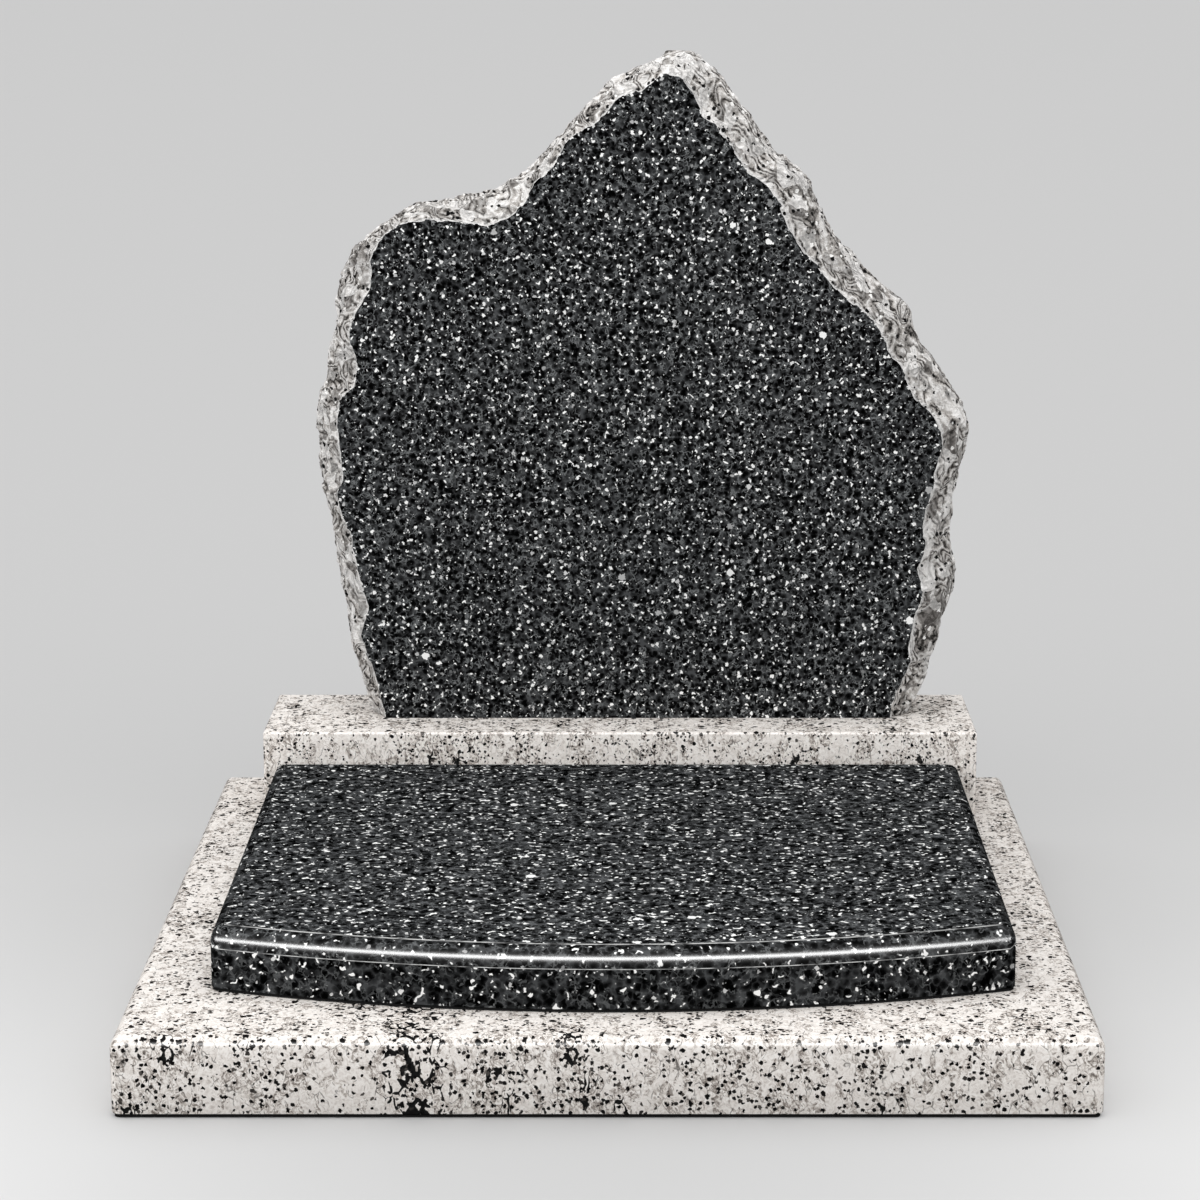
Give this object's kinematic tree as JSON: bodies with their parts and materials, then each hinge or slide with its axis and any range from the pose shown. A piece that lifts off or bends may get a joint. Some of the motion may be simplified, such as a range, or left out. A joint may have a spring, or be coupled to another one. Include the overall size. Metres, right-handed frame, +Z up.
{
  "type": "headstone",
  "caption": "Upright boulder headstone with a polished dark face and chipped margin, on a plinth, with a bowed cover slab in front, all on a flat base slab.",
  "frame": {"origin": "middle of the base slab's underside, on the ground", "axes": "+Z up, -Y is the front, where the polished face looks, +X to the right as seen from the front"},
  "size_m": [1, 1, 1.0116],
  "materials": {
    "base_granite": "polished",
    "plinth_granite": "polished",
    "cover_granite": "polished",
    "headstone_granite": "polished face, rock-pitched margin"
  },
  "bodies": {
    "root": {"base_slab": "base_granite", "cover_slab": "cover_granite", "plinth": "plinth_granite", "headstone": "headstone_granite"}
  },
  "joints": []
}
